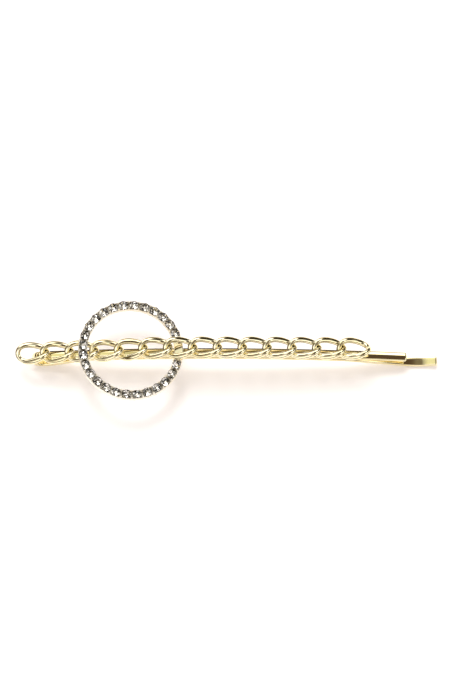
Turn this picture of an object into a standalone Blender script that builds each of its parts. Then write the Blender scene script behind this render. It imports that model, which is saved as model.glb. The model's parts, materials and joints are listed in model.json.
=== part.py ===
"""Hair slide: a sprung pin with a curb chain and a stone-set ring on its upper leg.

The pin is one strip of plated spring steel, bent back on itself at the left and arched upwards.
A chain of twisted oval links is soldered along the upper leg. A round ring of clear stones is
threaded on the chain: its left side lies over the chain and its right side lies under it, so
the ring is tilted, and it lifts the chain from there on.

Everything is laid out along the arch of the upper leg. "Along" is a distance to the right of the
arch's crown, and "above" is a height over the middle line of the upper leg. The whole slide then
moves so that it stands on the ground plane, centred on the origin.
"""

import math

import bmesh
import bpy
import numpy as np
from mathutils import Matrix, Vector

MM = 0.001

# Pin: one strip, bent back on itself
STRIP_WIDTH = 1.8 * MM
STRIP_THICKNESS = 0.95 * MM
STRIP_CHAMFER = 0.2 * MM
ARCH_RADIUS = 320.0 * MM
BEND_TO_CROWN = 35.3 * MM
BEND_OPENING = 2.3 * MM
LEG_GAP = 0.12 * MM
PINCH_LENGTH = 11.0 * MM
UPPER_LEG_BARE = 6.8 * MM
FLARE_BEFORE_END = 14.0 * MM
LOWER_LEG_REACH = 6.6 * MM
TIP_LENGTH = 4.6 * MM
TIP_DROP_LEAST = 0.5 * MM
LEG_STEP = 6.0 * MM
BEND_STEPS = 7
CURVE_STEPS = 6

# Chain of twisted oval links
LINK_COUNT = 14
LINK_LENGTH = 6.93 * MM
LINK_WIDTH = 4.75 * MM
WIRE_DIAMETER = 0.98 * MM
WIRE_SIDE_WIDTH = 1.28 * MM
WIRE_ROLL = math.radians(14)
LINK_PLAY = 0.06 * MM
CROSSING_GAP = 0.055 * MM
CROSSING_SAMPLES = 180
CHAIN_OVERHANG = 2.8 * MM
CHAIN_DRIFT = 0.38 * MM
LINK_STEPS = 26
WIRE_SIDES = 8

# Ring that holds the stones
RING_MIDDLE_DIAMETER = 19.0 * MM
RING_WIDTH = 1.8 * MM
RING_FROM_BEND = 20.0 * MM
RING_OFFSET = 0.35 * MM
RING_FLOOR = 0.7 * MM
RING_RAIL = 0.3 * MM
PRONG_HOLD = 0.1 * MM
PRONG_TIP_SHARE = 0.7
SADDLE_STEPS = 4

# Stones
STONE_MARGIN = 0.025 * MM
STONE_SPACE = 0.34 * MM
STONE_GIRDLE = 0.08 * MM
STONE_CROWN = 0.3 * MM
STONE_TABLE_SHARE = 0.57
STONE_CULET_SHARE = 0.23
PAVILION_ANGLE = math.radians(35)
STONE_SIDES = 8

# Solder between the upper leg and the lifted part of the chain
SOLDER_COUNT = 3
SOLDER_FROM_RING = 0.3 * MM
SOLDER_TAPER = 0.2 * MM
SOLDER_SIDES = 12

# Gap left between pieces that touch
SEAT = 0.05 * MM

# Edges turned more than this stay sharp
SHARP_CORNER = math.radians(35)
SHARP_WIRE = math.radians(60)
SHARP_FACET = math.radians(5)

# Rounds of each search for a size that depends on itself
ROUNDS = 16

LEG_TOP = STRIP_THICKNESS / 2
LEG_DROP = STRIP_THICKNESS + LEG_GAP
BEND_MIDDLE_RADIUS = (STRIP_THICKNESS + BEND_OPENING) / 2
BEND_OUTER_RADIUS = BEND_MIDDLE_RADIUS + STRIP_THICKNESS / 2
BEND_ALONG = BEND_OUTER_RADIUS - BEND_TO_CROWN
PINCH_ALONG = BEND_ALONG + PINCH_LENGTH

LINK_HALF_LENGTH = (LINK_LENGTH - WIRE_DIAMETER) / 2
LINK_HALF_WIDTH = (LINK_WIDTH - WIRE_SIDE_WIDTH) / 2
LINK_PITCH = 2 * LINK_HALF_LENGTH - WIRE_DIAMETER - LINK_PLAY
CHAIN_START = -BEND_TO_CROWN - CHAIN_OVERHANG
CHAIN_END = CHAIN_START + LINK_LENGTH + (LINK_COUNT - 1) * LINK_PITCH

UPPER_LEG_END = CHAIN_END + UPPER_LEG_BARE
LOWER_LEG_END = UPPER_LEG_END + LOWER_LEG_REACH
FLARE_START = UPPER_LEG_END - FLARE_BEFORE_END
TIP_START = LOWER_LEG_END - TIP_LENGTH

RING_MIDDLE_RADIUS = RING_MIDDLE_DIAMETER / 2
RING_OUTER_RADIUS = RING_MIDDLE_RADIUS + RING_WIDTH / 2
RING_INNER_RADIUS = RING_MIDDLE_RADIUS - RING_WIDTH / 2
RING_ALONG = RING_FROM_BEND - BEND_TO_CROWN
POCKET_HALF_WIDTH = RING_WIDTH / 2 - RING_RAIL
SOLDER_START = RING_ALONG + RING_OUTER_RADIUS + SOLDER_FROM_RING + STRIP_WIDTH / 2

STONE_DIAMETER = RING_WIDTH - 2 * STONE_MARGIN
STONE_TABLE = STONE_DIAMETER * STONE_TABLE_SHARE
STONE_CULET = STONE_DIAMETER * STONE_CULET_SHARE

PAVILION_SLOPE = math.tan(PAVILION_ANGLE)
PAVILION_DEPTH = (STONE_DIAMETER - STONE_CULET) / 2 * PAVILION_SLOPE
GIRDLE_OVER_RAIL = (STONE_DIAMETER / 2 - POCKET_HALF_WIDTH + SEAT) * PAVILION_SLOPE
POCKET_DEPTH = PAVILION_DEPTH - GIRDLE_OVER_RAIL + SEAT
RAIL_HEIGHT = RING_FLOOR + POCKET_DEPTH
GIRDLE_HEIGHT = RAIL_HEIGHT + GIRDLE_OVER_RAIL
PRONG_HEIGHT = GIRDLE_OVER_RAIL + STONE_GIRDLE + PRONG_HOLD
PRONG_LENGTH = STONE_SPACE - SEAT

GOLD = (0.87, 0.69, 0.38)
PALE_GOLD = (0.93, 0.78, 0.50)
SOLDER_GOLD = (0.72, 0.58, 0.30)
CLEAR = (0.95, 0.96, 0.98)
GLASS_IOR = 1.52


def clear_scene():
    for old in list(bpy.data.objects):
        bpy.data.objects.remove(old)


def material(name, colour, roughness, metallic, transmission=0.0):
    made = bpy.data.materials.new(name)
    made.use_nodes = True
    shader = made.node_tree.nodes["Principled BSDF"]
    shader.inputs["Base Color"].default_value = (*colour, 1.0)
    shader.inputs["Roughness"].default_value = roughness
    shader.inputs["Metallic"].default_value = metallic
    shader.inputs["Transmission Weight"].default_value = transmission
    shader.inputs["IOR"].default_value = GLASS_IOR
    return made


def empty(name, parent=None):
    made = bpy.data.objects.new(name, None)
    made.parent = parent
    bpy.context.collection.objects.link(made)
    return made


def place(name, mesh, parent, location=(0, 0, 0), rotation=(0, 0, 0)):
    """A named object that shows this mesh, set by its location and rotation."""
    made = bpy.data.objects.new(name, mesh)
    made.parent = parent
    made.location = location
    made.rotation_euler = rotation
    bpy.context.collection.objects.link(made)
    return made


def finish_mesh(shape, name, look, sharp_angle):
    """Turns the bmesh into a mesh that is shaded smooth up to this angle."""
    bmesh.ops.recalc_face_normals(shape, faces=shape.faces)
    mesh = bpy.data.meshes.new(name)
    shape.to_mesh(mesh)
    shape.free()
    mesh.shade_smooth()
    mesh.set_sharp_from_angle(angle=sharp_angle)
    mesh.materials.append(look)
    return mesh


def bridge(shape, loops, closed):
    """Joins each loop of vertices to the next with quads, and caps the ends of an open run."""
    count = len(loops[0])
    pairs = list(zip(loops, loops[1:]))
    if closed:
        pairs.append((loops[-1], loops[0]))
    for before, after in pairs:
        for i in range(count):
            j = (i + 1) % count
            shape.faces.new((before[i], before[j], after[j], after[i]))
    if not closed:
        shape.faces.new(loops[0])
        shape.faces.new(loops[-1])


def smooth(share):
    """0 below 0, 1 above 1, and an even S-curve between."""
    share = min(max(share, 0.0), 1.0)
    return share * share * (3 - 2 * share)


def on_arch(along, above):
    """(x, z) of a point this far along the arch and this far above its middle line."""
    turn = along / ARCH_RADIUS
    reach = ARCH_RADIUS + above
    return reach * math.sin(turn), reach * math.cos(turn) - ARCH_RADIUS


def above_arch(x, z):
    """How far a point is above the arch's middle line."""
    return math.hypot(x, z + ARCH_RADIUS) - ARCH_RADIUS


def over(x, above):
    """z at x of the curve that runs this far above the arch's middle line."""
    return math.sqrt((ARCH_RADIUS + above) ** 2 - x * x) - ARCH_RADIUS


def stations(start, end):
    """Places along a leg from start to end, a step apart or a little less."""
    steps = math.ceil(abs(end - start) / LEG_STEP)
    return list(np.linspace(start, end, steps + 1))


# Pin
def bend_station(angle):
    """(x, z, heading) on the bend's middle line, at this angle round its centre.

    The heading is that of the leg which this half of the bend leads to.
    """
    centre_x, centre_z = on_arch(BEND_ALONG, -BEND_MIDDLE_RADIUS)
    turned = angle - BEND_ALONG / ARCH_RADIUS
    x = centre_x + BEND_MIDDLE_RADIUS * math.cos(turned)
    z = centre_z + BEND_MIDDLE_RADIUS * math.sin(turned)
    leads_up = angle < math.pi
    return x, z, turned - math.pi / 2 if leads_up else turned + math.pi / 2


def hinge_point():
    """Outermost point of the bend: the legs open about the line across the strip there."""
    centre_x, centre_z = on_arch(BEND_ALONG, -BEND_MIDDLE_RADIUS)
    turned = math.pi - BEND_ALONG / ARCH_RADIUS
    x = centre_x + BEND_OUTER_RADIUS * math.cos(turned)
    z = centre_z + BEND_OUTER_RADIUS * math.sin(turned)
    return Vector((x, 0, z))


def upper_leg_station(along):
    x, z = on_arch(along, 0)
    return x, z, -along / ARCH_RADIUS


def tip_level():
    """z of the lower leg's middle line at its tip, which rests at the bend's own level."""
    centre_z = on_arch(BEND_ALONG, -BEND_MIDDLE_RADIUS)[1]
    closed_z = on_arch(LOWER_LEG_END, -LEG_DROP)[1]
    bend_level = centre_z - BEND_OUTER_RADIUS + STRIP_THICKNESS / 2
    return min(bend_level, closed_z - TIP_DROP_LEAST)


def lower_leg_point(along):
    """(x, z) on the lower leg: open at the bend, closed on the upper leg, then flared."""
    opening = (BEND_OPENING - LEG_GAP) * (1 - smooth((along - BEND_ALONG) / PINCH_LENGTH))
    x, z = on_arch(along, -LEG_DROP - opening)
    flare = smooth((along - FLARE_START) / (TIP_START - FLARE_START))
    return x, z + (tip_level() - z) * flare


def lower_leg_station(along):
    x, z = lower_leg_point(along)
    if along >= TIP_START:
        return x, z, 0.0
    nudge = LEG_STEP / 100
    before = lower_leg_point(along - nudge)
    after = lower_leg_point(along + nudge)
    return x, z, math.atan2(after[1] - before[1], after[0] - before[0])


def strip_loop(shape, station, origin, inset=0.0):
    """Eight vertices round the strip at a station, its long edges chamfered."""
    x, z, heading = station
    half_width = STRIP_WIDTH / 2 - inset
    half_thickness = STRIP_THICKNESS / 2 - inset
    flat_width = half_width - STRIP_CHAMFER
    flat_thickness = half_thickness - STRIP_CHAMFER
    corners = (
        (flat_width, half_thickness),
        (half_width, flat_thickness),
        (half_width, -flat_thickness),
        (flat_width, -half_thickness),
        (-flat_width, -half_thickness),
        (-half_width, -flat_thickness),
        (-half_width, flat_thickness),
        (-flat_width, half_thickness),
    )
    outward = Vector((math.sin(heading), 0, -math.cos(heading)))
    middle = Vector((x, 0, z)) - origin
    return [shape.verts.new(middle + Vector((0, y, 0)) + outward * n) for y, n in corners]


def strip_mesh(name, route, origin, look):
    """A length of strip through these stations, the last of which is its free, rounded end."""
    shape = bmesh.new()
    loops = [strip_loop(shape, station, origin) for station in route[:-1]]
    loops.append(strip_loop(shape, route[-1], origin, inset=STRIP_CHAMFER / 2))
    bridge(shape, loops, closed=False)
    return finish_mesh(shape, name, look, SHARP_CORNER)


def bend_route(first, last):
    """Stations round half the bend, stopping just short of the split between the legs."""
    return [bend_station(angle) for angle in np.linspace(first, last, BEND_STEPS + 1)]


def build_pin(root):
    look = material("pin_gold", GOLD, roughness=0.16, metallic=1.0)
    split = SEAT / 2 / BEND_OUTER_RADIUS
    upper = bend_route(math.pi - split, math.pi / 2)[:-1]
    upper += [upper_leg_station(s) for s in stations(BEND_ALONG, UPPER_LEG_END - STRIP_CHAMFER)]
    upper.append(upper_leg_station(UPPER_LEG_END))
    place("pin_upper_leg", strip_mesh("pin_upper_leg", upper, Vector(), look), root)

    hinge = hinge_point()
    lower = bend_route(math.pi + split, 3 * math.pi / 2)[:-1]
    lower += [lower_leg_station(s) for s in np.linspace(BEND_ALONG, PINCH_ALONG, CURVE_STEPS + 1)][:-1]
    lower += [lower_leg_station(s) for s in stations(PINCH_ALONG, FLARE_START)][:-1]
    lower += [lower_leg_station(s) for s in np.linspace(FLARE_START, TIP_START, CURVE_STEPS + 1)]
    lower += [lower_leg_station(s) for s in (LOWER_LEG_END - STRIP_CHAMFER, LOWER_LEG_END)]
    place("pin_lower_leg", strip_mesh("pin_lower_leg", lower, hinge, look), root, location=hinge)


# Chain
def link_centre(angles, twist):
    """Middle line of a link's wire: an oval whose two diagonals rise and fall."""
    return np.stack(
        [
            LINK_HALF_LENGTH * np.cos(angles),
            LINK_HALF_WIDTH * np.sin(angles),
            -twist * np.sin(2 * angles),
        ],
        axis=-1,
    )


def least_twist():
    """The smallest rise and fall of the wire at which two neighbouring links clear each other."""
    angles = np.linspace(0, 2 * math.pi, CROSSING_SAMPLES, endpoint=False)
    low = 0.0
    high = 2 * WIRE_DIAMETER
    for _ in range(ROUNDS):
        middle = (low + high) / 2
        link = link_centre(angles, middle)
        neighbour = link + np.array([LINK_PITCH, 0, 0])
        nearest = np.linalg.norm(link[:, None] - neighbour[None], axis=-1).min()
        if nearest < WIRE_DIAMETER + CROSSING_GAP:
            low = middle
        else:
            high = middle
    return high


def link_loop(shape, angle, twist):
    """Vertices round the wire there: wider at the link's sides, where it also rolls outwards."""
    centre = Vector(link_centre(np.array(angle), twist))
    forward = Vector(
        (
            -LINK_HALF_LENGTH * math.sin(angle),
            LINK_HALF_WIDTH * math.cos(angle),
            -2 * twist * math.cos(2 * angle),
        )
    ).normalized()
    outward = forward.cross(Vector((0, 0, 1))).normalized()
    upward = outward.cross(forward)
    side = math.sin(angle) ** 2
    half_width = (WIRE_DIAMETER + (WIRE_SIDE_WIDTH - WIRE_DIAMETER) * side**2) / 2
    roll = WIRE_ROLL * side
    across = outward * math.cos(roll) - upward * math.sin(roll)
    over_wire = upward * math.cos(roll) + outward * math.sin(roll)
    loop = []
    for turn in np.linspace(0, 2 * math.pi, WIRE_SIDES, endpoint=False):
        offset = across * half_width * math.cos(turn) + over_wire * WIRE_DIAMETER / 2 * math.sin(turn)
        loop.append(shape.verts.new(centre + offset))
    return loop


def link_mesh(twist):
    shape = bmesh.new()
    angles = np.linspace(0, 2 * math.pi, LINK_STEPS, endpoint=False)
    bridge(shape, [link_loop(shape, angle, twist) for angle in angles], closed=True)
    look = material("chain_gold", PALE_GOLD, roughness=0.12, metallic=1.0)
    return finish_mesh(shape, "chain_link", look, SHARP_WIRE)


class ChainPath:
    """The chain's middle line: on the upper leg at the left, over the ring's right side after it."""

    def __init__(self, thickness, ramp_start, ramp_end, lift):
        self.rest = LEG_TOP + SEAT + thickness / 2
        self.ramp_start = ramp_start
        self.ramp_end = ramp_end
        self.lift = lift

    def above(self, along):
        return self.rest + self.lift * smooth((along - self.ramp_start) / (self.ramp_end - self.ramp_start))

    def point(self, along):
        x, z = on_arch(along, self.above(along))
        drift_start = RING_ALONG + RING_OUTER_RADIUS
        drift = max(along - drift_start, 0) / (CHAIN_END - drift_start)
        return Vector((x, CHAIN_DRIFT * drift**2, z))

    def next_joint(self, along):
        """Along of the point one link pitch further on, measured straight."""
        start = self.point(along)
        reach = LINK_PITCH
        for _ in range(ROUNDS):
            reach *= LINK_PITCH / (self.point(along + reach) - start).length
        return along + reach

    def joints(self):
        """Along of the point between each two links, with the outer ends of the first and last."""
        found = [CHAIN_START + (LINK_LENGTH - LINK_PITCH) / 2]
        for _ in range(LINK_COUNT):
            found.append(self.next_joint(found[-1]))
        return found


def build_chain(root, path, twist):
    mesh = link_mesh(twist)
    joints = [path.point(along) for along in path.joints()]
    for number, (start, end) in enumerate(zip(joints, joints[1:]), start=1):
        reach = end - start
        pitch = -math.atan2(reach.z, math.hypot(reach.x, reach.y))
        yaw = math.atan2(reach.y, reach.x)
        name = f"chain_link_{number:02d}"
        place(name, mesh, root, location=(start + end) / 2, rotation=(0, pitch, yaw))


def solder_places(path):
    """Along of the solder: even shares of the links between the ring and the chain's end."""
    inner_joints = path.joints()[1:-1]
    clear = [along for along in inner_joints if along > SOLDER_START]
    shares = np.linspace(0, len(clear) - 1, SOLDER_COUNT)
    return [clear[int(share)] for share in shares]


def build_solder(root, path):
    """Low posts across the strip, each under the place where two lifted links meet."""
    look = material("solder_gold", SOLDER_GOLD, roughness=0.35, metallic=1.0)
    for number, along in enumerate(solder_places(path), start=1):
        height = path.above(along) - path.rest - SEAT
        shape = bmesh.new()
        bmesh.ops.create_cone(
            shape,
            cap_ends=True,
            segments=SOLDER_SIDES,
            radius1=STRIP_WIDTH / 2,
            radius2=STRIP_WIDTH / 2 - SOLDER_TAPER,
            depth=height,
        )
        name = f"solder_joint_{number}"
        mesh = finish_mesh(shape, name, look, SHARP_CORNER)
        x, z = on_arch(along, LEG_TOP + SEAT + height / 2)
        place(name, mesh, root, location=(x, 0, z), rotation=(0, along / ARCH_RADIUS, 0))


# Ring
class RingSeat:
    """How the ring lies: its left inner edge on the chain, its right outer edge on the upper leg."""

    def __init__(self, chain_thickness):
        inner = math.sqrt(RING_INNER_RADIUS**2 - (LINK_WIDTH / 2 + RING_OFFSET) ** 2)
        middle_x = on_arch(RING_ALONG, 0)[0]
        self.tilt = 0.0
        for _ in range(ROUNDS):
            left_x = middle_x - inner * math.cos(self.tilt)
            right_x = middle_x + RING_OUTER_RADIUS * math.cos(self.tilt)
            left_z = over(left_x, LEG_TOP + SEAT + chain_thickness + SEAT)
            right_z = over(right_x, LEG_TOP + SEAT)
            self.tilt = math.asin((left_z - right_z) / (inner + RING_OUTER_RADIUS))
        self.centre = Vector((middle_x, -RING_OFFSET, right_z + RING_OUTER_RADIUS * math.sin(self.tilt)))
        self.inner = inner

    def point(self, across, height):
        """A point of the ring's lengthwise section, from its distance to the middle and its height."""
        x = self.centre.x + across * math.cos(self.tilt) + height * math.sin(self.tilt)
        z = self.centre.z - across * math.sin(self.tilt) + height * math.cos(self.tilt)
        return x, z

    def chain_lift(self):
        """How far the ring's bare right side lifts the chain off the upper leg."""
        return above_arch(*self.point(self.inner, RING_FLOOR)) + SEAT - LEG_TOP


SECTION_SIDES = ("base", "outer", "rail", "middle", "rail", "inner")


def stone_angles():
    """Angles of the stones round the ring, which leave out the part that the chain lies on."""
    reach = LINK_WIDTH / 2 + 2 * SEAT + STONE_DIAMETER / 2
    first = math.asin((reach + RING_OFFSET) / RING_MIDDLE_RADIUS)
    last = 2 * math.pi - math.asin((reach - RING_OFFSET) / RING_MIDDLE_RADIUS)
    count = int((last - first) * RING_MIDDLE_RADIUS / (STONE_DIAMETER + STONE_SPACE)) + 1
    return np.linspace(first, last, count)


def ring_stations(angles):
    """(angle, top height, kind of the cell that follows) round the ring."""
    step = angles[1] - angles[0]
    prong = PRONG_LENGTH / RING_MIDDLE_RADIUS
    half_pocket = (step - prong) / 2
    slope = RING_RAIL / RING_MIDDLE_RADIUS
    found = [(angles[0] - half_pocket - prong, RAIL_HEIGHT, "rail")]
    for angle in angles:
        found.append((angle - half_pocket, RAIL_HEIGHT, "pocket"))
        found.append((angle, RAIL_HEIGHT, "pocket"))
        found.append((angle + half_pocket, RAIL_HEIGHT, "bridge"))
    found[-1] = (angles[-1] + half_pocket, RAIL_HEIGHT, "rail")
    found.append((angles[-1] + half_pocket + prong, RAIL_HEIGHT, "slope"))
    saddle_start = angles[-1] + half_pocket + prong + slope
    saddle_end = angles[0] - half_pocket - prong - slope + 2 * math.pi
    for angle in np.linspace(saddle_start, saddle_end, SADDLE_STEPS + 1):
        found.append((angle, RING_FLOOR, "saddle"))
    return found


def ring_mesh(angles):
    """A flat ring with a pocket under each stone and a pair of prongs between each two."""
    shape = bmesh.new()
    radii = (
        RING_INNER_RADIUS,
        RING_INNER_RADIUS + RING_RAIL,
        RING_OUTER_RADIUS - RING_RAIL,
        RING_OUTER_RADIUS,
    )
    loops = []
    kinds = []
    for angle, top, kind in ring_stations(angles):
        around = Vector((math.cos(angle), math.sin(angle), 0))
        low = [around * radii[0], around * radii[-1]]
        high = [around * radius + Vector((0, 0, top)) for radius in reversed(radii)]
        loops.append([shape.verts.new(corner) for corner in low + high])
        kinds.append(kind)
    pockets = []
    prongs = []
    for i, loop in enumerate(loops):
        after = loops[(i + 1) % len(loops)]
        for j, side in enumerate(SECTION_SIDES):
            k = (j + 1) % len(SECTION_SIDES)
            face = shape.faces.new((loop[j], after[j], after[k], loop[k]))
            if side == "middle" and kinds[i] == "pocket":
                pockets.append(face)
            if side == "rail" and kinds[i] == "bridge":
                prongs.append(face)
    bmesh.ops.recalc_face_normals(shape, faces=shape.faces)
    for half, other in zip(pockets[::2], pockets[1::2]):
        sunk = bmesh.ops.extrude_face_region(shape, geom=[half, other])["geom"]
        corners = [item for item in sunk if isinstance(item, bmesh.types.BMVert)]
        bmesh.ops.translate(shape, vec=(0, 0, -POCKET_DEPTH), verts=corners)
        bmesh.ops.delete(shape, geom=[half, other], context="FACES_ONLY")
    for raised in bmesh.ops.extrude_discrete_faces(shape, faces=prongs)["faces"]:
        bmesh.ops.translate(shape, vec=(0, 0, PRONG_HEIGHT), verts=raised.verts)
        to_tip = Matrix.Translation(-raised.calc_center_median())
        narrow = Vector((PRONG_TIP_SHARE, PRONG_TIP_SHARE, 1))
        bmesh.ops.scale(shape, vec=narrow, space=to_tip, verts=raised.verts)
    look = material("ring_gold", PALE_GOLD, roughness=0.15, metallic=1.0)
    return finish_mesh(shape, "ring_frame", look, SHARP_CORNER)


def stone_mesh():
    """A cut stone: table, crown, girdle and a pavilion that is cut off flat."""
    shape = bmesh.new()
    levels = (
        (STONE_TABLE / 2, STONE_GIRDLE + STONE_CROWN, 0.5),
        (STONE_DIAMETER / 2, STONE_GIRDLE, 0.0),
        (STONE_DIAMETER / 2, 0.0, 0.0),
        (STONE_CULET / 2, -PAVILION_DEPTH, 0.0),
    )
    for radius, height, turn_share in levels:
        for i in range(STONE_SIDES):
            angle = 2 * math.pi * (i + turn_share) / STONE_SIDES
            shape.verts.new((radius * math.cos(angle), radius * math.sin(angle), height))
    bmesh.ops.convex_hull(shape, input=shape.verts)
    look = material("clear_stone", CLEAR, roughness=0.02, metallic=0.0, transmission=1.0)
    return finish_mesh(shape, "stone", look, SHARP_FACET)


def build_ring(root, seat):
    carrier = empty("ring_seat", root)
    carrier.location = seat.centre
    carrier.rotation_euler = (0, seat.tilt, 0)
    angles = stone_angles()
    place("ring_frame", ring_mesh(angles), carrier)
    mesh = stone_mesh()
    for number, angle in enumerate(angles, start=1):
        x = RING_MIDDLE_RADIUS * math.cos(angle)
        y = RING_MIDDLE_RADIUS * math.sin(angle)
        location = (x, y, GIRDLE_HEIGHT)
        place(f"stone_{number:02d}", mesh, carrier, location=location, rotation=(0, 0, angle))


def stand_on_ground(root):
    """Moves the slide so that its box is centred on the origin and its lowest point is at z = 0."""
    bpy.context.view_layer.update()
    corners = []
    for part in bpy.data.objects:
        if part.type == "MESH":
            corners += [part.matrix_world @ corner.co for corner in part.data.vertices]
    points = np.array(corners)
    low = points.min(axis=0)
    high = points.max(axis=0)
    root.location = (-(low[0] + high[0]) / 2, -(low[1] + high[1]) / 2, -low[2])
    bpy.context.view_layer.update()


def main():
    clear_scene()
    root = empty("hair_slide")
    twist = least_twist()
    thickness = 2 * twist + WIRE_DIAMETER
    seat = RingSeat(thickness)
    ramp_start = seat.centre.x - seat.inner + LINK_PITCH / 2
    ramp_end = seat.centre.x + seat.inner - LINK_PITCH / 2
    path = ChainPath(thickness, ramp_start, ramp_end, seat.chain_lift())
    build_pin(root)
    build_chain(root, path, twist)
    build_solder(root, path)
    build_ring(root, seat)
    stand_on_ground(root)


main()
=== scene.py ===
"""Hair slide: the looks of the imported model.

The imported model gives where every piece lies. Each class below builds the fine surface of one
sub-assembly round the places that it reads there, and gives it its finish:

    SprungPin     the gold plated strip, bent back on itself
    CurbChain     the twisted oval links and the solder that holds them
    StoneRing     the round band, its prongs and its cut stones
    Studio        the pale floor, the lights and the camera

Lengths are in metres, with +Z up and +X from the closed bend towards the open tips.
"""

import json
import logging
import math
from dataclasses import dataclass, field, replace
from enum import Enum, IntEnum

import bpy
import numpy as np
from mathutils import Matrix, Vector

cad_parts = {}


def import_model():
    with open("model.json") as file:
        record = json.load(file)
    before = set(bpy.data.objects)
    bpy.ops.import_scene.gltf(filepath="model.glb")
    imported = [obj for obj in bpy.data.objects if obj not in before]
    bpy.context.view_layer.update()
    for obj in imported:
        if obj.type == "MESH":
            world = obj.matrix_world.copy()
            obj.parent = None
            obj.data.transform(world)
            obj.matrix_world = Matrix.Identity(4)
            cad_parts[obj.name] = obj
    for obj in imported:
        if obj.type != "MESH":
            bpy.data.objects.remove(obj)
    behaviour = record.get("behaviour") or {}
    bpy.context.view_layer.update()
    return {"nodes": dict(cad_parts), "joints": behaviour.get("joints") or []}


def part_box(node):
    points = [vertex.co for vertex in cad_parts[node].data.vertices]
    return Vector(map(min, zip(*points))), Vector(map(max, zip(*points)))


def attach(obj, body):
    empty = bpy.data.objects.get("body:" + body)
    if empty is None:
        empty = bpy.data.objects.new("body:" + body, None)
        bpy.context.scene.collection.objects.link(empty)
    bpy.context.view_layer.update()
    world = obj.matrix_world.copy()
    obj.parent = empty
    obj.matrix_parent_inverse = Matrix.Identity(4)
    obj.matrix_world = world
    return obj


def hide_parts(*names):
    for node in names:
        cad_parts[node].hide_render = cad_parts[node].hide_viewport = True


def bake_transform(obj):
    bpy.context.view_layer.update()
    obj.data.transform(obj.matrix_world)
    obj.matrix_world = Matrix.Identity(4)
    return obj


MM = 0.001
POINT_DIGITS = 8
# Point attribute of painted shade: how far a piece's colour goes towards its dark shaded colour.
PAINTED_SHADE = "shaded"
# Face attribute of painted reflections: how bright each foil facet is painted.
PAINTED_REFLECTION = "painted_reflection"

log = logging.getLogger("hair_slide")


class Body(Enum):
    """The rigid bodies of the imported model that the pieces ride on."""

    UPPER = "upper"
    LOWER = "lower"


class MixSocket(IntEnum):
    """The places of a Mix node's sockets for colours, the last one among its outputs."""

    SHARE = 0
    FIRST = 6
    SECOND = 7
    MIXED = 2


class BandFace(IntEnum):
    """The parts of the round band, in the order of its materials."""

    RIM = 0
    CHANNEL = 1
    SADDLE = 2


class Slot(Enum):
    """The record's material slots of the pieces."""

    PIN = "pin_gold"
    CHAIN = "chain_gold"
    RING = "ring_gold"
    SOLDER = "solder_gold"
    STONE = "clear_stone"


class Wiring:
    """Adds nodes to one node tree and joins them as it goes."""

    def __init__(self, tree: bpy.types.NodeTree) -> None:
        """Starts on an empty tree.

        Args:
            tree: The material, world or group tree to fill.
        """
        self.tree = tree
        self.tree.nodes.clear()

    def add(self, kind: str, inputs: dict | None = None, **settings: object) -> bpy.types.Node:
        """Adds one node.

        Args:
            kind: Blender's name for the node type.
            inputs: Values or output sockets for the node's inputs, by name or number.
            **settings: The node's own properties.

        Returns:
            The new node.
        """
        node = self.tree.nodes.new(kind)
        for name, value in settings.items():
            setattr(node, name, value)
        for key, value in (inputs or {}).items():
            if isinstance(value, bpy.types.NodeSocket):
                self.tree.links.new(value, node.inputs[key])
            else:
                node.inputs[key].default_value = value
        return node

    def math(self, operation: str, *values: object) -> bpy.types.NodeSocket:
        """Adds a Math node.

        Args:
            operation: The sum that it does.
            *values: Its numbers or sockets, in order.

        Returns:
            The result's socket.
        """
        return self.add("ShaderNodeMath", dict(enumerate(values)), operation=operation).outputs[0]

    def spread(self, value: bpy.types.NodeSocket, low: float, high: float) -> bpy.types.NodeSocket:
        """Stretches a value so that low becomes 0 and high becomes 1, with a soft start and end.

        Args:
            value: The value's socket.
            low: What becomes 0.
            high: What becomes 1.

        Returns:
            The stretched value's socket.
        """
        inputs = {"Value": value, "From Min": low, "From Max": high}
        node = self.add("ShaderNodeMapRange", inputs, interpolation_type="SMOOTHSTEP")
        return node.outputs["Result"]

    def band(
        self, value: bpy.types.NodeSocket, low: float, high: float, softness: float
    ) -> bpy.types.NodeSocket:
        """1 between low and high, 0 a softness beyond them.

        Args:
            value: The value's socket.
            low: Where the band starts.
            high: Where it ends.
            softness: The breadth of its soft edges, half of which lies inside the band.

        Returns:
            The mask's socket.
        """
        half = softness / 2
        rising = self.spread(value, low - half, low + half)
        falling = self.spread(value, high + half, high - half)
        return self.math("MULTIPLY", rising, falling)

    def mix(self, share: object, first: object, second: object) -> bpy.types.NodeSocket:
        """Mixes two colours.

        Args:
            share: How much of the second, as a number or socket.
            first: The first colour or socket.
            second: The second colour or socket.

        Returns:
            The mixed colour's socket.
        """
        inputs = {MixSocket.SHARE: share, MixSocket.FIRST: first, MixSocket.SECOND: second}
        return self.add("ShaderNodeMix", inputs, data_type="RGBA").outputs[MixSocket.MIXED]

    def noise(
        self, place: bpy.types.NodeSocket, scale: object, detail: float
    ) -> bpy.types.NodeSocket:
        """Adds a Noise Texture.

        Args:
            place: The socket of the coordinates.
            scale: Its scale, as a number or socket.
            detail: How many finer layers it has.

        Returns:
            The noise's socket.
        """
        inputs = {"Vector": place, "Scale": scale, "Detail": detail}
        return self.add("ShaderNodeTexNoise", inputs).outputs[0]

    def surface(self, inputs: dict) -> None:
        """Ends a material with a Principled shader that has these inputs."""
        shader = self.add("ShaderNodeBsdfPrincipled", inputs)
        self.add("ShaderNodeOutputMaterial", {"Surface": shader.outputs[0]})


def new_look(name: str) -> tuple[bpy.types.Material, Wiring]:
    """Starts a material.

    Args:
        name: The material's name.

    Returns:
        The material, and the wiring of its empty tree.
    """
    made = bpy.data.materials.new(name)
    made.use_nodes = True
    return made, Wiring(made.node_tree)


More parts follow.
